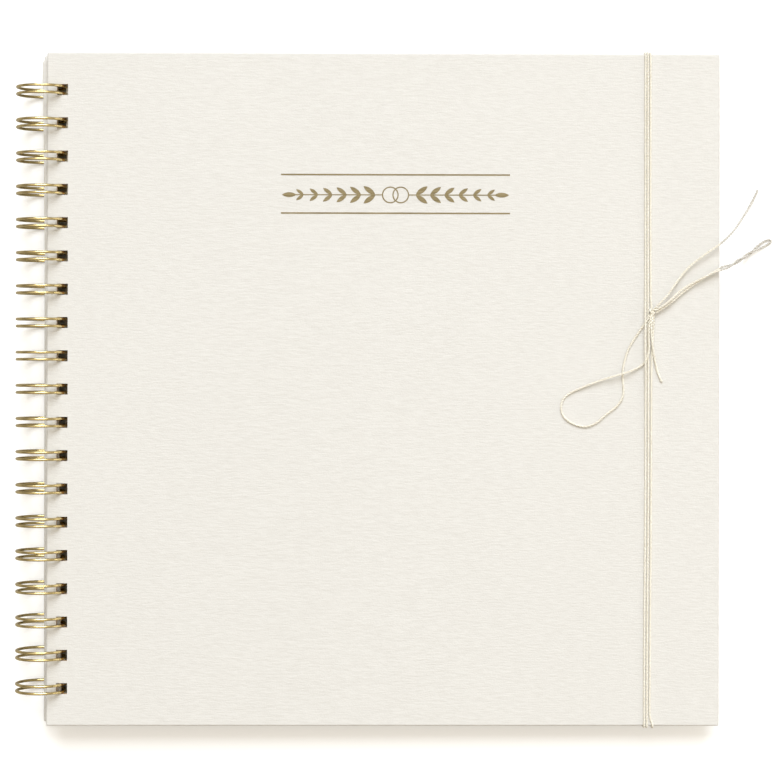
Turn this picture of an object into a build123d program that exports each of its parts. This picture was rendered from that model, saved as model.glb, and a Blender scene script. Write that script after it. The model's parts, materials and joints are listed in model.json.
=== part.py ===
from build123d import *
from math import asin, atan2, cos, degrees, hypot, radians, sin, sqrt, tan
import os

# A guest book: two cloth-covered boards and twenty leaves, bound on a twin-loop wire and tied with a bow.
# It lies shut on a table.  X runs from the bound edge to the fore edge, Y from tail to head, Z is up, and
# the origin is on the table under the middle of the book.  Millimetres.

# ---- driving dimensions ----
cover_side = 257.0
board_thickness = 1.6
cloth_thickness = 0.3
liner_thickness = 0.2
turn_in = 15.0            # cloth folded over onto the inside of the board
liner_inset = 2.5         # cover's edge to the liner's edge
edge_round = 0.6          # soft wrapped edge of the cloth

loop_count = 19
loop_pitch = 12.7         # 2:1 twin-loop binding
loop_spacing = 2.7        # between the two wires of a loop
wire_diameter = 1.0
ring_radius = 9.0         # to the middle of the wire
hole_side = 4.2
cover_hole_margin = 3.8   # cover's edge to its holes

leaf_count = 20
leaf_side = 252.0
leaf_thickness = 0.25
leaf_gap = 0.035          # air under each leaf
leaf_hole_margin = 4.45
leaf_skew = 0.55          # degrees, how far the block has slipped round on its wire
skew_spread = 0.1         # degrees, how far single leaves differ from that
skew_step = 2.4           # radians, from one leaf's part of that spread to the next's

cord_diameter = 0.9
cord_clearance = 0.02     # air between a tight cord and the cloth
foil_thickness = 0.08

# ---- levels in the closed book, measured up from the middle of the wire's rings ----
cover_thickness = board_thickness + 2 * cloth_thickness + liner_thickness
wrapped_thickness = board_thickness + 2 * cloth_thickness
back_inside = -4.6
front_inside = 2.2
back_outside = back_inside - cover_thickness
front_outside = front_inside + cover_thickness

# ---- where each cover's bound edge is, measured from the middle of the rings ----
front_near_edge = 3.0
back_near_edge = 0.665
front_fore_edge = front_near_edge + cover_side
back_fore_edge = back_near_edge + cover_side

# The rings stand on the table and so does the back cover's fore edge, so the book leans a little.
ring_height = ring_radius + wire_diameter / 2
lean = asin(ring_height / hypot(back_fore_edge, back_outside)) - atan2(-back_outside, back_fore_edge)
front_reach = front_fore_edge * cos(lean) + front_outside * sin(lean)
ring_x = -(front_reach - ring_height) / 2

book_plane = Plane(
    origin=(ring_x, 0, ring_height),
    x_dir=(cos(lean), 0, -sin(lean)),
    z_dir=(sin(lean), 0, cos(lean)),
)


def cover_plane(near_edge, outside, outward):
    """A plane on the middle of a cover's outer face, looking away from the leaves (outward is 1 or -1)."""
    middle = book_plane.from_local_coords((near_edge + cover_side / 2, 0, outside))
    return Plane(origin=middle, x_dir=book_plane.x_dir, z_dir=book_plane.z_dir * outward)


front_plane = cover_plane(front_near_edge, front_outside, 1)
back_plane = cover_plane(back_near_edge, back_outside, -1)

os.makedirs("parts", exist_ok=True)


# ---- covers: each is a board, the cloth wrapped round it and the paper liner inside ----
def draw_hole_column(margin, side):
    """Draws one column of square binding holes near the bound edge of a square sheet."""
    with Locations((-side / 2 + margin + hole_side / 2, 0)):
        with GridLocations(1, loop_pitch, 1, loop_count):
            Rectangle(hole_side, hole_side)


def make_board(plane):
    """The stiff grey board, inside the cloth."""
    side = cover_side - 2 * cloth_thickness
    with BuildPart(plane) as board:
        with Locations((0, 0, -cloth_thickness - board_thickness / 2)):
            Box(side, side, board_thickness)
        with BuildSketch(plane):
            draw_hole_column(cover_hole_margin, cover_side)
        extrude(amount=-cover_thickness, mode=Mode.SUBTRACT)
    return board.part


def make_cloth(plane):
    """The linen: over the outer face, round all four edges and turned in on the inside."""
    inside = cover_side - 2 * cloth_thickness
    window = cover_side - 2 * turn_in
    with BuildPart(plane) as cloth:
        with Locations((0, 0, -wrapped_thickness / 2)):
            Box(cover_side, cover_side, wrapped_thickness)
        fillet(cloth.edges(), edge_round)
        with Locations((0, 0, -cloth_thickness - board_thickness / 2)):
            Box(inside, inside, board_thickness, mode=Mode.SUBTRACT)
        with Locations((0, 0, -wrapped_thickness + cloth_thickness / 2)):
            Box(window, window, cloth_thickness, mode=Mode.SUBTRACT)
        with BuildSketch(plane):
            draw_hole_column(cover_hole_margin, cover_side)
        extrude(amount=-cover_thickness, mode=Mode.SUBTRACT)
    return cloth.part


def make_liner(plane):
    """The paper pasted down inside: a sheet over the turn-ins that also fills the window between them."""
    window = cover_side - 2 * turn_in
    side = cover_side - 2 * liner_inset
    with BuildPart(plane) as liner:
        with Locations((0, 0, -wrapped_thickness - liner_thickness / 2)):
            Box(side, side, liner_thickness)
        with Locations((0, 0, -wrapped_thickness + cloth_thickness / 2)):
            Box(window, window, cloth_thickness)
        with BuildSketch(plane):
            draw_hole_column(cover_hole_margin, cover_side)
        extrude(amount=-cover_thickness, mode=Mode.SUBTRACT)
    return liner.part


for cover, plane in (("front", front_plane), ("back", back_plane)):
    layers = {"board": make_board(plane), "cloth": make_cloth(plane), "liner": make_liner(plane)}
    for layer, part in layers.items():
        part.label = f"{cover}_{layer}"
        export_step(part, f"parts/{cover}_{layer}.step")


# ---- leaves, numbered from the top; each hole column stays on the wire's ring ----
for number in range(1, leaf_count + 1):
    level = back_inside + leaf_gap + (leaf_count - number) * (leaf_thickness + leaf_gap)
    hole_distance = sqrt(ring_radius**2 - (level + leaf_thickness / 2) ** 2)
    skew = leaf_skew + skew_spread * sin(skew_step * number)
    middle = leaf_side / 2 - leaf_hole_margin - hole_side / 2
    leaf_plane = Plane(book_plane.location * Location((hole_distance, 0, level), (0, 0, skew)))
    with BuildPart() as leaf:
        with BuildSketch(leaf_plane):
            with Locations((middle, 0)):
                Rectangle(leaf_side, leaf_side)
            with GridLocations(1, loop_pitch, 1, loop_count):
                Rectangle(hole_side, hole_side, mode=Mode.SUBTRACT)
        extrude(amount=leaf_thickness)
    leaf.part.label = f"leaf_{number:02d}"
    export_step(leaf.part, f"parts/leaf_{number:02d}.step")


# ---- binding wire: every loop runs from the bar, round the ring to a tip, and back to the bar ----
tip_angle = -60.0         # the closed tips and the bar meet under the back cover
bar_angle = 272.0
corner_radius = 1.5       # bend from a loop into the bar


def ring_point(angle, y):
    """The middle of the wire at an angle round the ring, counter-clockwise from the fore edge."""
    return Vector(
        ring_x + ring_radius * cos(radians(angle)),
        y,
        ring_height + ring_radius * sin(radians(angle)),
    )


def ring_tangent(angle):
    """The way the wire runs at that angle, counter-clockwise."""
    return Vector(-sin(radians(angle)), 0, cos(radians(angle)))


def ring_arc(start_angle, end_angle, y):
    """Adds the wire's sweep round the ring at one place along the spine."""
    middle_angle = (start_angle + end_angle) / 2
    ThreePointArc(ring_point(start_angle, y), ring_point(middle_angle, y), ring_point(end_angle, y))


def corner_arc(y, direction):
    """Adds the bend that joins a loop's leg to the bar, on the side that direction (1 or -1) points to."""
    across = Vector(0, direction, 0) * corner_radius
    along = ring_tangent(bar_angle) * corner_radius
    start = ring_point(bar_angle, y)
    bar_start = start + across + along
    middle = start + across * (1 - cos(radians(45))) + along * sin(radians(45))
    ThreePointArc(start, middle, bar_start)
    half_gap = loop_pitch / 2 - loop_spacing / 2 - corner_radius
    Line(bar_start, bar_start + Vector(0, direction * half_gap, 0))


with BuildPart() as binding_wire:
    for loop in range(loop_count):
        middle_y = (loop - (loop_count - 1) / 2) * loop_pitch
        low_y = middle_y - loop_spacing / 2
        high_y = middle_y + loop_spacing / 2
        with BuildLine() as loop_path:
            if loop > 0:
                corner_arc(low_y, -1)
            ring_arc(bar_angle, tip_angle, low_y)
            tip = ring_point(tip_angle, middle_y) - ring_tangent(tip_angle) * loop_spacing / 2
            ThreePointArc(ring_point(tip_angle, low_y), tip, ring_point(tip_angle, high_y))
            ring_arc(tip_angle, bar_angle, high_y)
            if loop < loop_count - 1:
                corner_arc(high_y, 1)
        loop_wire = loop_path.wire()
        with BuildSketch(Plane(origin=loop_wire @ 0, z_dir=loop_wire % 0)):
            Circle(wire_diameter / 2)
        sweep(path=loop_wire)
binding_wire.part.label = "binding_wire"
export_step(binding_wire.part, "parts/binding_wire.step")


# ---- gilt foil on the front cover: an ornament between two rules ----
rule_length = 87.5
rule_width = 0.58
foil_middle = 4.5         # right of the cover's middle
rule_heights = {"foil_rule_upper": 82.1, "foil_rule_lower": 67.4}
ornament_height = 74.4
ornament_half = 43.4
link_outer = 3.2
link_band = 0.45
link_spacing = 4.0        # between the middles of the two linked rings
stem_width = 0.4
stem_start = link_outer + link_spacing / 2 - link_band / 2
leaf_pairs = 6
sprig_angle = 36.0        # of a leaf to its stem
longest_sprig = 5.6
shortest_sprig = 3.6


def sprig_leaf(length):
    """A pointed leaf outline that starts at the origin and runs along +X."""
    with BuildSketch() as outline:
        with BuildLine():
            ThreePointArc((0, 0), (length / 2, length / 6), (length, 0))
            ThreePointArc((length, 0), (length / 2, -length / 6), (0, 0))
        make_face()
    return outline.sketch


for label, height in rule_heights.items():
    with BuildPart() as rule:
        with BuildSketch(front_plane):
            with Locations((foil_middle, height)):
                Rectangle(rule_length, rule_width)
        extrude(amount=foil_thickness)
    rule.part.label = label
    export_step(rule.part, f"parts/{label}.step")

with BuildSketch() as link:
    Circle(link_outer)
    Circle(link_outer - link_band, mode=Mode.SUBTRACT)

leaf_step = (ornament_half - longest_sprig - stem_start) / leaf_pairs
sprig_sizes = [
    longest_sprig + (shortest_sprig - longest_sprig) * pair / (leaf_pairs - 1) for pair in range(leaf_pairs)
]
sprig_shapes = [sprig_leaf(size) for size in sprig_sizes]
end_leaf = sprig_leaf(longest_sprig)
stem_length = ornament_half - longest_sprig / 2 - stem_start
with BuildPart() as foil_ornament:
    with BuildSketch(front_plane):
        with Locations((foil_middle, ornament_height)):
            with GridLocations(link_spacing, 1, 2, 1):
                add(link.sketch)
        for side in (-1, 1):
            with Locations((foil_middle + side * (stem_start + stem_length / 2), ornament_height)):
                Rectangle(stem_length, stem_width)
            facing = 0 if side > 0 else 180
            with Locations((foil_middle + side * (ornament_half - longest_sprig), ornament_height)):
                add(end_leaf, rotation=facing)
            for pair, shape in enumerate(sprig_shapes):
                joint_distance = stem_start + leaf_step * (pair + 0.5)
                with Locations((foil_middle + side * joint_distance, ornament_height)):
                    add(shape, rotation=facing + sprig_angle)
                    add(shape, rotation=facing - sprig_angle)
    extrude(amount=foil_thickness)
foil_ornament.part.label = "foil_ornament"
export_step(foil_ornament.part, "parts/foil_ornament.step")


# ---- cord: three tight turns round the front cover, a knot, two bow loops and two tails ----
cord_lift = cord_diameter / 2 + cord_clearance
edge_bend = edge_round + cord_lift
run_share = 0.45          # of the shorter run that a bend may use


def over_cover(x, y, lift=cord_lift):
    """A point of the cord that far from the front cover's middle, and that high over its cloth."""
    return front_plane.from_local_coords(Vector(x, y, lift))


def over_table(x, y, lift=cord_lift):
    """A point of the cord beside the book, as far from the cover's middle and that high over the table."""
    return Vector(front_plane.origin.X + x, y, lift)


def bend_radii(route):
    """The largest radius that the two runs at each inner point of a route allow."""
    radii = []
    for before, here, after in zip(route, route[1:], route[2:]):
        run_in = here - before
        run_out = after - here
        half_turn = radians(run_in.get_angle(run_out)) / 2
        radii.append(run_share * min(run_in.length, run_out.length) / tan(half_turn))
    return radii


def make_cord(label, route, radii, close=False):
    """Sweeps the cord's round section along a route of straight runs and arcs."""
    with BuildPart() as cord:
        with BuildLine() as line:
            FilletPolyline(*route, radius=radii, close=close)
        path = line.wire()
        with BuildSketch(Plane(origin=path @ 0, z_dir=path % 0)):
            Circle(cord_diameter / 2)
        sweep(path=path)
    cord.part.label = label
    export_step(cord.part, f"parts/{label}.step")
    expected = path.length * Circle(cord_diameter / 2, mode=Mode.PRIVATE).area
    sharpest = min(radii) if isinstance(radii, list) else radii
    print(f"{label}: length {path.length:.1f}, smallest bend {sharpest:.2f}, volume {cord.part.volume:.2f}"
          f" against section by length {expected:.2f}")


turn_reach = cover_side / 2 + cord_lift
inside_lift = -cover_thickness - cord_lift
knot_x = 103.3
knot_y = 29.1
knot_width = 2.6
knot_length = 4.2
knot_thickness = 2.7
knot_round = 1.2
knot_hold = 0.3           # how far the knotted turn's ends run into the knot
turn_places = {"tie_turn_left": 100.5, "tie_turn_middle": 101.5}
right_turn_x = 102.6

for label, x in turn_places.items():
    corners = [
        over_cover(x, turn_reach),
        over_cover(x, -turn_reach),
        over_cover(x, -turn_reach, inside_lift),
        over_cover(x, turn_reach, inside_lift),
    ]
    make_cord(label, corners, edge_bend, close=True)

knotted_turn = [
    over_cover(right_turn_x, knot_y - knot_length / 2 + knot_hold),
    over_cover(right_turn_x, -turn_reach),
    over_cover(right_turn_x, -turn_reach, inside_lift),
    over_cover(right_turn_x, turn_reach, inside_lift),
    over_cover(right_turn_x, turn_reach),
    over_cover(right_turn_x, knot_y + knot_length / 2 - knot_hold),
]
make_cord("tie_turn_right", knotted_turn, [edge_bend] * 4)

with BuildPart(front_plane) as tie_knot:
    with Locations((knot_x, knot_y, knot_thickness / 2 + cord_clearance)):
        Box(knot_width, knot_length, knot_thickness)
    fillet(tie_knot.edges(), knot_round)
tie_knot.part.label = "tie_knot"
export_step(tie_knot.part, "parts/tie_knot.step")

loop_left_route = [
    over_cover(102.4, 28.6, 2.1),
    over_cover(99.6, 24.6, 3.9),
    over_cover(96.0, 19.4, 3.8),
    over_cover(93.4, 13.0, 1.9),
    over_cover(92.1, 6.4, 0.5),
    over_cover(92.5, 0.9),
    over_cover(91.1, -5.0),
    over_cover(86.6, -9.3),
    over_cover(81.2, -13.2),
    over_cover(75.0, -14.0),
    over_cover(69.4, -11.2),
    over_cover(67.7, -6.0),
    over_cover(70.2, -1.9),
    over_cover(76.2, 0.9, 1.4),
    over_cover(82.6, 3.4, 3.6),
    over_cover(89.0, 5.3, 4.6),
    over_cover(95.4, 7.2, 4.6),
    over_cover(100.6, 9.9, 4.3),
    over_cover(102.6, 14.6, 4.2),
    over_cover(101.7, 20.4, 3.8),
    over_cover(102.9, 27.3, 2.0),
]
loop_right_route = [
    over_cover(103.9, 29.6, 2.0),
    over_cover(107.7, 32.6, 3.6),
    over_cover(113.0, 36.4, 3.2),
    over_cover(118.5, 40.4, 3.2),
    over_cover(123.9, 43.4, 4.1),
    over_cover(130.4, 46.6, 4.2),
    over_table(136.0, 49.5, 11.2),
    over_table(140.7, 52.4, 4.6),
    over_table(144.4, 54.9, 0.9),
    over_table(147.2, 56.8),
    over_table(150.0, 58.3),
    over_table(150.9, 56.5),
    over_table(148.0, 55.2),
    over_table(144.8, 53.9, 0.9),
    over_table(141.3, 51.4, 4.6),
    over_table(136.5, 48.5, 11.2),
    over_cover(130.9, 45.6, 4.2),
    over_cover(124.4, 42.4, 4.1),
    over_cover(119.1, 39.5, 3.2),
    over_cover(113.6, 35.5, 3.2),
    over_cover(108.3, 31.7, 3.6),
    over_cover(104.4, 28.6, 2.0),
]
tail_upper_route = [
    over_cover(103.5, 30.9, 1.9),
    over_cover(105.6, 34.0, 4.2),
    over_cover(109.0, 37.6, 3.4),
    over_cover(112.6, 41.9, 2.0),
    over_cover(117.2, 46.6, 2.2),
    over_cover(122.8, 50.9, 3.9),
    over_cover(129.6, 55.9, 4.2),
    over_table(134.6, 60.6, 12.2),
    over_table(138.5, 65.2, 6.4),
    over_table(141.8, 70.0, 1.6),
    over_table(144.2, 74.4),
    over_table(145.2, 77.4),
]
tail_lower_route = [
    over_cover(104.1, 27.9, 1.0),
    over_cover(104.4, 24.0, 3.3),
    over_cover(103.7, 18.8, 3.0),
    over_cover(104.0, 13.4, 1.3),
    over_cover(105.7, 8.9),
    over_cover(106.7, 4.9),
    over_cover(108.3, 1.6),
]
free_cords = {
    "tie_loop_left": loop_left_route,
    "tie_loop_right": loop_right_route,
    "tie_tail_upper": tail_upper_route,
    "tie_tail_lower": tail_lower_route,
}
for label, route in free_cords.items():
    make_cord(label, route, bend_radii(route))
    print("   radii", [round(radius, 1) for radius in bend_radii(route)])

print(f"lean {degrees(lean):.3f} degrees, rings at x {ring_x:.3f}")
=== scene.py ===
import bpy
import json
import math
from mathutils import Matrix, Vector


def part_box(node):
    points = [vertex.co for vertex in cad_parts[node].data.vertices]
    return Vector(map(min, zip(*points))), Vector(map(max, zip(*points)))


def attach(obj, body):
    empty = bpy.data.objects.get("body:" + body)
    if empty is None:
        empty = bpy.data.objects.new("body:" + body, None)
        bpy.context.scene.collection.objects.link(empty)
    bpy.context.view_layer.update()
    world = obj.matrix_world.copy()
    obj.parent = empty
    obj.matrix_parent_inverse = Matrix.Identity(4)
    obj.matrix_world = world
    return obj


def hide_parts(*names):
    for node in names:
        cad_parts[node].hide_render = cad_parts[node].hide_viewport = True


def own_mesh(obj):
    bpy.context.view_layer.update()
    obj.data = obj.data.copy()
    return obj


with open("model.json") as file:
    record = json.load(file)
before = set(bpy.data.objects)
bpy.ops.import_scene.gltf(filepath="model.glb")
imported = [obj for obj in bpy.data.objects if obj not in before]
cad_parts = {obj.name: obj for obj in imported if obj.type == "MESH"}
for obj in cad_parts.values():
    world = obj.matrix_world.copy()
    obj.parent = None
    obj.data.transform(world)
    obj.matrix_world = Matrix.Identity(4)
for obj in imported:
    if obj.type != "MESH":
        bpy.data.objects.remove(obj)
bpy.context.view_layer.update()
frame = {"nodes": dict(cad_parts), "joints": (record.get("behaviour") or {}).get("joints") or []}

# ---- driving values, in metres, as the model has them ----
mm = 0.001
wire_radius = 0.5 * mm
loop_count = 19
loop_pitch = 12.7 * mm
loop_spacing = 2.7 * mm
wrapped_thickness = 2.2 * mm
cover_thickness = 2.4 * mm
cover_side = 257.0 * mm

# The middle of a resting cord over what it lies on, in millimetres: half the cord and a little air.
cord_lift = 0.47

# ---- places worked out from the frame ----
hinge = next(joint for joint in frame["joints"] if joint["name"] == "cover_open")
ring_centre = Vector(hinge["pos_m"])


def middle_of(node):
    """The middle of a node's box."""
    low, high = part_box(node)
    return (low + high) / 2


def lean_of_book():
    """How far the closed book leans towards its fore edge, from the height of a cover's box."""
    low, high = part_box("front_cloth")
    return math.asin((high.z - low.z - wrapped_thickness) / cover_side)


lean = lean_of_book()
book_across = Vector((math.cos(lean), 0, -math.sin(lean)))
book_up = Vector((math.sin(lean), 0, math.cos(lean)))
book_along = Vector((0, 1, 0))
cover_top = middle_of("front_cloth") + book_up * wrapped_thickness / 2


def over_cover(x, y, lift=cord_lift):
    """A point that many millimetres from the front cover's middle, and lift over its cloth."""
    return cover_top + (book_across * x + book_along * y + book_up * lift) * mm


def over_table(x, y, lift=cord_lift):
    """A point that many millimetres from the front cover's middle, and lift over the table."""
    return Vector((cover_top.x + x * mm, y * mm, lift * mm))


# ---- camera and light ----
def add_camera():
    """Looks straight down from near the cover's middle, with the view shifted towards the tail."""
    towards_fore_edge = 0.00877
    towards_head = 0.0138
    height = 0.8208
    turn = math.radians(0.105)
    data = bpy.data.cameras.new("camera")
    data.lens = 97.6
    data.sensor_width = 36.0
    data.shift_y = -0.0468
    data.clip_start = 0.01
    camera = bpy.data.objects.new("camera", data)
    camera.location = (towards_fore_edge, towards_head, height)
    camera.rotation_euler = (0, 0, turn)
    bpy.context.scene.collection.objects.link(camera)
    bpy.context.scene.camera = camera


def add_area_light(name, place, target, size, power, colour):
    """A soft square lamp that faces a point."""
    data = bpy.data.lights.new(name, "AREA")
    data.shape = "SQUARE"
    data.size = size
    data.energy = power
    data.color = colour
    lamp = bpy.data.objects.new(name, data)
    lamp.location = place
    lamp.rotation_euler = (Vector(target) - Vector(place)).to_track_quat("-Z", "Y").to_euler()
    bpy.context.scene.collection.objects.link(lamp)


def add_world():
    """Light that is bright overhead and dim towards the horizon, in front of a plain pale wall."""
    world = bpy.data.worlds.new("studio")
    world.use_nodes = True
    nodes = world.node_tree.nodes
    links = world.node_tree.links
    wall_colour = (0.90, 0.89, 0.87, 1)
    coordinate = nodes.new("ShaderNodeTexCoord")
    split = nodes.new("ShaderNodeSeparateXYZ")
    ramp = nodes.new("ShaderNodeValToRGB")
    elements = ramp.color_ramp.elements
    elements[0].position = 0.40
    elements[0].color = (0.26, 0.235, 0.20, 1)
    elements[1].position = 0.72
    elements[1].color = (0.82, 0.75, 0.64, 1)
    top = elements.new(1.0)
    top.color = (1.0, 0.92, 0.80, 1)
    background = nodes["Background"]
    background.inputs["Strength"].default_value = 1.0
    links.new(coordinate.outputs["Generated"], split.inputs[0])
    links.new(split.outputs["Z"], ramp.inputs["Fac"])
    path = nodes.new("ShaderNodeLightPath")
    wall = nodes.new("ShaderNodeMix")
    wall.data_type = "RGBA"
    wall.inputs["B"].default_value = wall_colour
    links.new(path.outputs["Is Camera Ray"], wall.inputs["Factor"])
    links.new(ramp.outputs["Color"], wall.inputs["A"])
    links.new(wall.outputs["Result"], background.inputs["Color"])
    bpy.context.scene.world = world


add_camera()
add_world()
add_area_light(
    "key",
    place=(0.1, 3.9, 4.0),
    target=(0, 0, 0),
    size=4.0,
    power=345,
    colour=(0.80, 0.88, 1.0),
)
add_area_light(
    "fore_edge_fill",
    place=(1.3, 0, 0.45),
    target=(0.1, 0, 0),
    size=0.6,
    power=3.5,
    colour=(1.0, 0.97, 0.92),
)
bpy.context.scene.view_settings.view_transform = "Standard"


# ---- material helpers ----
def new_material(name):
    """An empty node material: its node tree, principled shader and object coordinates."""
    material = bpy.data.materials.new(name)
    material.use_nodes = True
    tree = material.node_tree
    shader = tree.nodes["Principled BSDF"]
    coordinate = tree.nodes.new("ShaderNodeTexCoord")
    return material, tree, shader, coordinate.outputs["Object"]


def stretched_noise(tree, coordinate, scale, detail=4.0, roughness=0.55):
    """Noise whose grain differs along X, Y and Z: scale is in cycles a metre along each."""
    mapping = tree.nodes.new("ShaderNodeMapping")
    mapping.inputs["Scale"].default_value = scale
    texture = tree.nodes.new("ShaderNodeTexNoise")
    texture.inputs["Scale"].default_value = 1.0
    texture.inputs["Detail"].default_value = detail
    texture.inputs["Roughness"].default_value = roughness
    tree.links.new(coordinate, mapping.inputs["Vector"])
    tree.links.new(mapping.outputs["Vector"], texture.inputs["Vector"])
    return texture.outputs["Fac"]


def mixed(tree, kind, first, second, factor=1.0):
    """Two values joined by a maths operation; a factor scales the second one first."""
    scaled = tree.nodes.new("ShaderNodeMath")
    scaled.operation = "MULTIPLY"
    scaled.inputs[1].default_value = factor
    joined = tree.nodes.new("ShaderNodeMath")
    joined.operation = kind
    tree.links.new(second, scaled.inputs[0])
    tree.links.new(first, joined.inputs[0])
    tree.links.new(scaled.outputs[0], joined.inputs[1])
    return joined.outputs[0]


def colour_ramp(tree, value, stops):
    """A colour that follows a value through (position, colour) stops."""
    ramp = tree.nodes.new("ShaderNodeValToRGB")
    elements = ramp.color_ramp.elements
    while len(elements) < len(stops):
        elements.new(0.5)
    for element, (position, colour) in zip(elements, stops):
        element.position = position
        element.color = (*colour, 1)
    tree.links.new(value, ramp.inputs["Fac"])
    return ramp.outputs["Color"]


def add_bump(tree, shader, height, distance):
    """Bumps the shader by a height from 0 to 1, where 1 stands for a distance in metres."""
    bump = tree.nodes.new("ShaderNodeBump")
    bump.inputs["Distance"].default_value = distance
    tree.links.new(height, bump.inputs["Height"])
    tree.links.new(bump.outputs["Normal"], shader.inputs["Normal"])


# ---- materials ----
def linen_cloth():
    """Ivory book cloth: short ripples along the weft over a fine even weave."""
    material, tree, shader, place = new_material("linen_cloth")
    ripples = stretched_noise(tree, place, (250, 1500, 500), 3, 0.6)
    weave = stretched_noise(tree, place, (1900, 2300, 900), 2)
    threads = mixed(tree, "ADD", ripples, weave, 0.5)
    cloud = stretched_noise(tree, place, (22, 22, 22), 2)
    value = mixed(tree, "ADD", threads, cloud, 0.1)
    colour = colour_ramp(tree, value, [(0.50, (0.650, 0.626, 0.576)), (1.0, (0.718, 0.697, 0.648))])
    tree.links.new(colour, shader.inputs["Base Color"])
    shader.inputs["Roughness"].default_value = 0.9
    shader.inputs["Specular IOR Level"].default_value = 0.2
    shader.inputs["Sheen Weight"].default_value = 0.1
    add_bump(tree, shader, threads, 0.11 * mm)
    return material


def inside_limits(tree, place, limits):
    """1 where each named axis of a place is within its reach of a middle, and 0 elsewhere."""
    position = tree.nodes.new("ShaderNodeSeparateXYZ")
    tree.links.new(place, position.inputs[0])
    found = None
    for axis, middle, reach in limits:
        test = tree.nodes.new("ShaderNodeMath")
        test.operation = "COMPARE"
        test.inputs[1].default_value = middle
        test.inputs[2].default_value = reach
        tree.links.new(position.outputs[axis], test.inputs[0])
        found = mixed(tree, "MULTIPLY", found, test.outputs[0]) if found else test.outputs[0]
    return found


def mixed_colour(tree, factor, first, second):
    """The first colour where the factor is 0 and the second where it is 1."""
    blend = tree.nodes.new("ShaderNodeMix")
    blend.data_type = "RGBA"
    tree.links.new(factor, blend.inputs["Factor"])
    tree.links.new(first, blend.inputs["A"])
    tree.links.new(second, blend.inputs["B"])
    return blend.outputs["Result"]


def punched_edges(tree, place):
    """1 on the upright walls of the holes punched in a leaf, and 0 on the rest of it."""
    row_middle = ring_centre.x + 9 * mm
    row_reach = 3 * mm
    upright_reach = 0.5
    surface = tree.nodes.new("ShaderNodeTexCoord")
    upright = inside_limits(tree, surface.outputs["Normal"], [("Z", 0.0, upright_reach)])
    hole_row = [("X", row_middle, row_reach), ("Y", 0.0, loop_count * loop_pitch / 2)]
    return mixed(tree, "MULTIPLY", upright, inside_limits(tree, place, hole_row))


def paper(name, colour, dark, edge=None):
    """Paper or board with a mottle of fibres. With an edge colour, the walls of its holes get painted
    light: a warm glow standing in for light the gold wire throws into them.
    """
    material, tree, shader, place = new_material(name)
    fibre = stretched_noise(tree, place, (380, 520, 500), 6)
    mottle = colour_ramp(tree, fibre, [(0.35, dark), (0.65, colour)])
    if edge:
        # Painted light: on the hole walls the edge colour stands in for warm light thrown off the gold
        # wire.
        painted_wire_glow = colour_ramp(tree, fibre, [(0.35, edge), (0.65, colour)])
        mottle = mixed_colour(tree, punched_edges(tree, place), mottle, painted_wire_glow)
    tree.links.new(mottle, shader.inputs["Base Color"])
    shader.inputs["Roughness"].default_value = 0.9
    shader.inputs["Specular IOR Level"].default_value = 0.2
    return material


def gold_wire():
    """Bright gold-coated wire with faint draw marks along it."""
    material, tree, shader, place = new_material("gold_wire")
    marks = stretched_noise(tree, place, (900, 4000, 900), 3)
    colour = colour_ramp(tree, marks, [(0.3, (0.66, 0.53, 0.25)), (0.7, (0.78, 0.64, 0.33))])
    tree.links.new(colour, shader.inputs["Base Color"])
    shader.inputs["Metallic"].default_value = 1.0
    rough = tree.nodes.new("ShaderNodeMapRange")
    rough.inputs["To Min"].default_value = 0.16
    rough.inputs["To Max"].default_value = 0.30
    tree.links.new(marks, rough.inputs["Value"])
    tree.links.new(rough.outputs["Result"], shader.inputs["Roughness"])
    return material


def gilt_foil():
    """Stamped foil that takes the weave of the cloth under it."""
    material, tree, shader, place = new_material("gilt_foil")
    weft = stretched_noise(tree, place, (90, 1500, 400), 5)
    colour = colour_ramp(tree, weft, [(0.3, (0.20, 0.158, 0.075)), (0.7, (0.31, 0.25, 0.135))])
    tree.links.new(colour, shader.inputs["Base Color"])
    shader.inputs["Metallic"].default_value = 0.65
    shader.inputs["Roughness"].default_value = 0.42
    add_bump(tree, shader, weft, 0.06 * mm)
    return material


def cotton_cord():
    """Cream cotton, with painted shade: greyer and darker on the ends that hang past the fore edge."""
    material, tree, shader, place = new_material("cotton_cord")
    fibre = stretched_noise(tree, place, (2500, 2500, 2500), 4)
    cream_cotton = colour_ramp(tree, fibre, [(0.35, (0.71, 0.65, 0.52)), (0.65, (0.96, 0.93, 0.83))])
    # Painted shade: past the fore edge the cotton is greyer and darker.
    shaded_past_edge = colour_ramp(tree, fibre, [(0.35, (0.50, 0.465, 0.40)), (0.65, (0.74, 0.71, 0.64))])
    beyond = [("X", cover_top.x + cover_side, cover_side / 2)]
    colour = mixed_colour(tree, inside_limits(tree, place, beyond), cream_cotton, shaded_past_edge)
    tree.links.new(colour, shader.inputs["Base Color"])
    shader.inputs["Roughness"].default_value = 0.8
    shader.inputs["Sheen Weight"].default_value = 0.2
    return material


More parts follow.
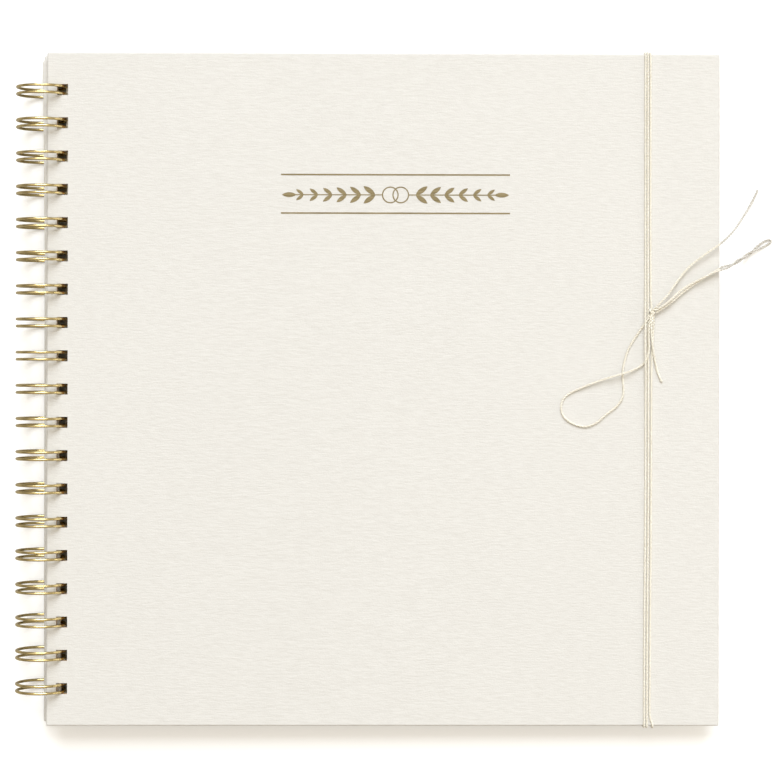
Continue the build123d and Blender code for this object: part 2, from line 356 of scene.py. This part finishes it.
def white_table():
    """The ground under the book: white as the camera sees it, and darker as it lights the book."""
    as_light = (0.40, 0.38, 0.35)
    as_seen = (0.88, 0.87, 0.84)
    glow_strength = 0.25
    hidden_reach = cover_side / 2 - 1 * mm
    material, tree, shader, place = new_material("white_table")
    path = tree.nodes.new("ShaderNodeLightPath")
    seen = path.outputs["Is Camera Ray"]
    colour = colour_ramp(tree, seen, [(0.0, as_light), (1.0, as_seen)])
    tree.links.new(colour, shader.inputs["Base Color"])
    under_book = [("X", cover_top.x, hidden_reach), ("Y", 0.0, hidden_reach)]
    hidden = mixed(tree, "MULTIPLY", seen, inside_limits(tree, place, under_book))
    glow = mixed(tree, "SUBTRACT", seen, hidden)
    strength = tree.nodes.new("ShaderNodeMath")
    strength.operation = "MULTIPLY"
    strength.inputs[1].default_value = glow_strength
    tree.links.new(glow, strength.inputs[0])
    tree.links.new(strength.outputs[0], shader.inputs["Emission Strength"])
    shader.inputs["Emission Color"].default_value = (1, 1, 1, 1)
    shader.inputs["Roughness"].default_value = 0.9
    shader.inputs["Specular IOR Level"].default_value = 0.0
    return material


def paint(node, material):
    """Gives a CAD node its material."""
    mesh = frame["nodes"][node].data
    mesh.materials.clear()
    mesh.materials.append(material)


linen = linen_cloth()
leaf_paper = paper(
    "leaf_paper",
    colour=(0.78, 0.75, 0.69),
    dark=(0.72, 0.69, 0.63),
    # painted light: the warm glow of the gold wire on the walls of the punched holes
    edge=(0.90, 0.66, 0.38),
)
liner_paper = paper("liner_paper", colour=(0.70, 0.685, 0.64), dark=(0.65, 0.635, 0.59))
brown_board = paper("brown_board", colour=(0.60, 0.38, 0.18), dark=(0.50, 0.31, 0.14))
gold = gold_wire()
foil = gilt_foil()
cotton = cotton_cord()

for node in frame["nodes"]:
    if node.endswith("_cloth"):
        paint(node, linen)
    elif node.endswith("_board"):
        paint(node, brown_board)
    elif node.endswith("_liner"):
        paint(node, liner_paper)
    elif node.startswith("leaf_"):
        paint(node, leaf_paper)
    elif node.startswith("foil_"):
        paint(node, foil)


# ---- mesh helpers ----
def add_piece(name, vertices, faces, material):
    """A smooth mesh piece."""
    mesh = bpy.data.meshes.new(name)
    mesh.from_pydata(vertices, [], faces)
    mesh.polygons.foreach_set("use_smooth", [True] * len(faces))
    mesh.materials.append(material)
    mesh.update()
    piece = bpy.data.objects.new(name, mesh)
    bpy.context.scene.collection.objects.link(piece)
    return piece


def frames_along(points):
    """At each point: the point and two directions across the line, carried along without twist."""
    ways = [(after - before).normalized() for before, after in zip(points, points[1:])]
    ways.append(ways[-1])
    side = ways[0].orthogonal().normalized()
    carried = []
    for number, point in enumerate(points):
        way = ways[number] if number == 0 else (ways[number] + ways[number - 1]).normalized()
        side = (side - way * side.dot(way)).normalized()
        carried.append((point, side, way.cross(side)))
    return carried


def tube(points, radius, sides):
    """Vertices and faces of a round tube along points, capped at both ends."""
    vertices = []
    for point, across, over in frames_along(points):
        for step in range(sides):
            angle = 2 * math.pi * step / sides
            vertices.append(point + (across * math.cos(angle) + over * math.sin(angle)) * radius)
    faces = []
    last = (len(points) - 1) * sides
    for here in range(0, last, sides):
        there = here + sides
        for step in range(sides):
            beside = (step + 1) % sides
            faces.append((here + step, here + beside, there + beside, there + step))
    faces.append(tuple(reversed(range(sides))))
    faces.append(tuple(range(last, last + sides)))
    return vertices, faces


def smooth_line(route):
    """The points of the smooth curve that a cord's route controls."""
    curve = bpy.data.curves.new("route", "CURVE")
    curve.dimensions = "3D"
    curve.resolution_u = 24
    spline = curve.splines.new("NURBS")
    spline.points.add(len(route) - 1)
    for control, place in zip(spline.points, route):
        control.co = (*place, 1)
    spline.order_u = 3
    spline.use_endpoint_u = True
    holder = bpy.data.objects.new("route", curve)
    mesh = bpy.data.meshes.new_from_object(holder)
    line = [vertex.co.copy() for vertex in mesh.vertices]
    bpy.data.meshes.remove(mesh)
    bpy.data.curves.remove(curve)
    return line


def line_length(line):
    """How long a line of points is."""
    return sum((after - before).length for before, after in zip(line, line[1:]))


def evenly(line, step):
    """The same line with points about a step apart."""
    lengths = [(after - before).length for before, after in zip(line, line[1:])]
    total = line_length(line)
    count = max(2, round(total / step))
    spaced = [line[0]]
    walked = 0.0
    segment = 0
    for number in range(1, count):
        wanted = total * number / count
        while walked + lengths[segment] < wanted:
            walked += lengths[segment]
            segment += 1
        share = (wanted - walked) / lengths[segment]
        spaced.append(line[segment].lerp(line[segment + 1], share))
    spaced.append(line[-1])
    return spaced


# ---- cord: two strands twisted together ----
twist_pitch = 2.6 * mm
strand_offset = 0.225 * mm
strand_radius = 0.235 * mm
strand_sides = 7
steps_per_twist = 10


def twisted_cord(name, line):
    """A mesh of two strands that wind round each other along a line."""
    points = evenly(line, twist_pitch / steps_per_twist)
    step = line_length(points) / (len(points) - 1)
    vertices = []
    faces = []
    for half in (0, 1):
        strand = []
        for number, (point, across, over) in enumerate(frames_along(points)):
            angle = 2 * math.pi * (number * step / twist_pitch + half / 2)
            away = across * math.cos(angle) + over * math.sin(angle)
            strand.append(point + away * strand_offset)
        strand_vertices, strand_faces = tube(strand, strand_radius, strand_sides)
        first = len(vertices)
        vertices += strand_vertices
        faces += [tuple(first + index for index in face) for face in strand_faces]
    return add_piece(name, vertices, faces, cotton)


def free_cord(name, node, route):
    """A loop or tail of the bow. It rides on the front cover, so it ends up under the cover once the
    cover is turned over.
    """
    line = smooth_line(route)
    piece = twisted_cord(name, line)
    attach(piece, "front_cover")
    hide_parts(node)
    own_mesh(piece)


loop_left_route = [
    over_cover(102.4, 29.4, 1.2),
    over_cover(101.3, 27.4, 1.0),
    over_cover(99.3, 24.9, 0.6),
    over_cover(96.6, 20.7),
    over_cover(93.7, 16.2),
    over_cover(92.0, 11.0),
    over_cover(91.3, 6.4),
    over_cover(91.7, 2.2),
    over_cover(91.8, -2.4),
    over_cover(89.3, -6.3),
    over_cover(85.2, -9.2),
    over_cover(81.4, -12.8),
    over_cover(76.8, -14.4),
    over_cover(71.9, -12.8),
    over_cover(68.5, -10.1),
    over_cover(67.6, -6.1),
    over_cover(69.2, -2.1),
    over_cover(75.7, 1.0, 0.8),
    over_cover(84.2, 4.2, 1.4),
    over_cover(89.8, 5.8, 2.0),
    over_cover(92.8, 6.7, 2.0),
    over_cover(97.2, 8.4, 0.9),
    over_cover(100.4, 11.0, 1.0),
    over_cover(101.6, 15.6, 1.5),
    over_cover(101.2, 20.6, 1.5),
    over_cover(101.5, 25.6, 1.5),
    over_cover(102.4, 28.9, 1.4),
]
loop_right_route = [
    over_cover(103.7, 30.4, 1.9),
    over_cover(106.3, 32.0, 2.5),
    over_cover(109.7, 34.5, 2.3),
    over_cover(113.2, 38.1, 1.9),
    over_cover(117.6, 40.7, 1.7),
    over_cover(122.0, 43.0, 2.1),
    over_cover(126.0, 45.0, 2.3),
    over_table(129.2, 46.1, 13.9),
    over_table(131.6, 46.7, 13.0),
    over_table(133.7, 48.1, 11.6),
    over_table(135.6, 49.8, 9.2),
    over_table(137.7, 50.6, 6.3),
    over_table(139.9, 51.1, 3.2),
    over_table(142.0, 52.4, 0.7),
    over_table(144.2, 55.2, 0.9),
    over_table(146.9, 57.3),
    over_table(149.5, 58.4),
    over_table(150.6, 57.5),
    over_table(148.7, 56.2),
    over_table(145.9, 54.8, 0.9),
    over_table(143.4, 53.7, 1.8),
    over_table(141.4, 53.0, 1.5),
    over_table(139.5, 51.9, 2.6),
    over_table(138.0, 50.3, 5.4),
    over_table(136.1, 48.9, 8.9),
    over_table(133.9, 48.1, 10.3),
    over_table(131.4, 47.6, 12.1),
    over_table(129.0, 47.0, 13.2),
    over_cover(125.7, 45.0, 1.1),
    over_cover(121.8, 42.5, 1.1),
    over_cover(117.6, 39.8, 1.1),
    over_cover(113.7, 36.9, 1.1),
    over_cover(109.9, 33.5, 1.4),
    over_cover(106.4, 31.0, 1.6),
    over_cover(103.9, 29.6, 1.5),
]
tail_upper_route = [
    over_cover(103.4, 31.0, 1.9),
    over_cover(105.4, 33.2, 2.8),
    over_cover(108.6, 36.5, 2.4),
    over_cover(111.9, 41.4, 1.6),
    over_cover(116.1, 46.8, 1.4),
    over_cover(121.9, 51.4, 1.9),
    over_cover(128.4, 55.7, 2.2),
    over_table(133.4, 60.1, 12.0),
    over_table(137.5, 65.1, 6.4),
    over_table(141.1, 70.1, 1.6),
    over_table(143.8, 74.6),
    over_table(145.0, 77.4),
]
tail_lower_route = [
    over_cover(102.9, 30.0, 1.5),
    over_cover(102.2, 25.8, 2.0),
    over_cover(102.2, 20.4, 1.9),
    over_cover(103.1, 14.4, 1.4),
    over_cover(104.2, 9.0),
    over_cover(105.2, 5.5),
    over_cover(106.4, 3.1),
]
free_cord("bow_loop_left", "tie_loop_left", loop_left_route)
free_cord("bow_loop_right", "tie_loop_right", loop_right_route)
free_cord("bow_tail_upper", "tie_tail_upper", tail_upper_route)
free_cord("bow_tail_lower", "tie_tail_lower", tail_lower_route)

# ---- tight turns of the cord round the front cover ----
inside_lift = -cover_thickness / mm - cord_lift
last_on_face = 0.9
past_edge = 0.5


def over_edge(x, side):
    """Route points round the head (1) or tail (-1) edge of the cover, from its face to its inside."""
    edge = cover_side / mm / 2
    near = side * (edge - last_on_face)
    past = side * (edge + past_edge)
    return [
        over_cover(x, near),
        over_cover(x, past),
        over_cover(x, past, inside_lift),
        over_cover(x, near, inside_lift),
    ]


def band_turn(name, node, route):
    """A turn of the band as a mesh of twisted cord."""
    piece = twisted_cord(name, smooth_line(route))
    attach(piece, "front_cover")
    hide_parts(node)


def whole_turn(name, node, face):
    """A turn that comes up round the head edge, goes down the face and back in round the tail edge."""
    head_x = face[0][0]
    tail_x = face[-1][0]
    inside = over_cover(head_x, 0, inside_lift)
    down = [over_cover(*place) for place in face]
    route = [inside, *reversed(over_edge(head_x, 1)), *down, *over_edge(tail_x, -1), inside]
    band_turn(name, node, route)


whole_turn(
    "turn_left",
    "tie_turn_left",
    [
        (100.0, 110),
        (100.05, 60),
        (100.1, 38),
        (99.95, 31, 1.5),
        (99.95, 26, 1.9),
        (99.95, 19, 1.6),
        (100.0, 11.5, 1.9),
        (100.1, 5, 1.4),
        (100.2, -3),
        (100.25, -40),
        (99.95, -85),
        (99.9, -110),
    ],
)
whole_turn(
    "turn_middle",
    "tie_turn_middle",
    [
        (100.95, 110),
        (101.0, 60),
        (101.1, 30),
        (101.3, 5),
        (101.35, -40),
        (101.0, -85),
        (100.9, -115),
    ],
)
turn_right_route = [
    over_cover(103.0, 29.2, 1.2),
    over_cover(103.3, 26.0, 0.8),
    over_cover(102.9, 20.0),
    over_cover(102.4, 8.0),
    over_cover(102.4, -40.0),
    over_cover(102.1, -95.0),
    over_cover(102.0, -118.0),
    over_cover(101.95, -125.0),
    *over_edge(103.1, -1),
    *reversed(over_edge(101.95, 1)),
    over_cover(101.95, 110.0),
    over_cover(102.0, 60.0),
    over_cover(102.1, 38.0),
    over_cover(102.2, 33.0, 0.8),
    over_cover(102.6, 30.4, 1.2),
]
band_turn("turn_right", "tie_turn_right", turn_right_route)


# ---- knot of the bow ----
knot_x = 102.75
knot_y = 29.9
knot_lift = 1.35
knot_width = 0.33
knot_height = 0.48
knot_rise = 0.62
knot_steps = 72


def wound_knot():
    """An overhand knot pulled tight: cord along a trefoil, flattened on to the cover."""
    line = []
    for step in range(knot_steps + 1):
        turn = 2 * math.pi * step / knot_steps
        x = knot_x + (math.sin(turn) + 2 * math.sin(2 * turn)) * knot_width
        y = knot_y + (math.cos(turn) - 2 * math.cos(2 * turn)) * knot_height
        line.append(over_cover(x, y, knot_lift - math.sin(3 * turn) * knot_rise))
    piece = twisted_cord("bow_knot", line)
    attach(piece, "front_cover")
    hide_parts("tie_knot")


wound_knot()

# ---- binding wire ----
coated_wire_radius = wire_radius * 1.08
ring_radius = ring_centre.z - coated_wire_radius
ring_widening = 0.45 * mm
tip_angle = -60.0
bar_angle = 272.0
leg_steps = 60
corner_radius = 1.5 * mm
corner_steps = 6
tip_steps = 12
wire_sides = 12


def ring_point(angle, y):
    """The middle of the wire at an angle round the ring, counter-clockwise from the fore edge."""
    turn = math.radians(angle)
    x = ring_centre.x + ring_widening + (ring_radius + ring_widening) * math.cos(turn)
    return Vector((x, y, ring_centre.z + ring_radius * math.sin(turn)))


def ring_tangent(angle):
    """The way the wire runs at that angle, counter-clockwise."""
    turn = math.radians(angle)
    return Vector((-math.sin(turn), 0, math.cos(turn)))


def ring_leg(start_angle, end_angle, y):
    """Points round the ring at one place along the spine."""
    sweep = end_angle - start_angle
    return [ring_point(start_angle + sweep * step / leg_steps, y) for step in range(leg_steps + 1)]


def bar_corner(y, direction):
    """Points of the bend from a loop's leg into the bar, which runs towards +Y (1) or -Y (-1)."""
    points = []
    for step in range(1, corner_steps + 1):
        turn = math.radians(90 * step / corner_steps)
        across = Vector((0, direction, 0)) * corner_radius * (1 - math.cos(turn))
        onward = ring_tangent(bar_angle) * corner_radius * math.sin(turn)
        points.append(ring_point(bar_angle, y) + across + onward)
    return points


def loop_tip(middle_y):
    """Points of the closed tip between a loop's two legs."""
    points = []
    for step in range(1, tip_steps):
        turn = math.radians(180 * step / tip_steps)
        across = Vector((0, -math.cos(turn), 0)) * loop_spacing / 2
        onward = ring_tangent(tip_angle) * math.sin(turn) * loop_spacing / 2
        points.append(ring_point(tip_angle, middle_y) + across - onward)
    return points


def binding_wire():
    """One continuous wire: every loop runs from the bar round to its tip and back to the bar."""
    line = []
    for loop in range(loop_count):
        middle_y = (loop - (loop_count - 1) / 2) * loop_pitch
        low_y = middle_y - loop_spacing / 2
        high_y = middle_y + loop_spacing / 2
        if loop > 0:
            line += reversed(bar_corner(low_y, -1))
        line += ring_leg(bar_angle, tip_angle, low_y)
        line += loop_tip(middle_y)
        line += ring_leg(tip_angle, bar_angle, high_y)
        if loop < loop_count - 1:
            line += bar_corner(high_y, 1)
    vertices, faces = tube(line, coated_wire_radius, wire_sides)
    piece = add_piece("twin_loop_wire", vertices, faces, gold)
    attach(piece, "back_cover")
    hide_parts("binding_wire")


binding_wire()


# ---- table ----
def add_table():
    """A wide white ground, which isn't part of the book."""
    half = 20.0
    corners = [(-half, -half, 0), (half, -half, 0), (half, half, 0), (-half, half, 0)]
    floor = add_piece("table", corners, [(0, 1, 2, 3)], white_table())


add_table()
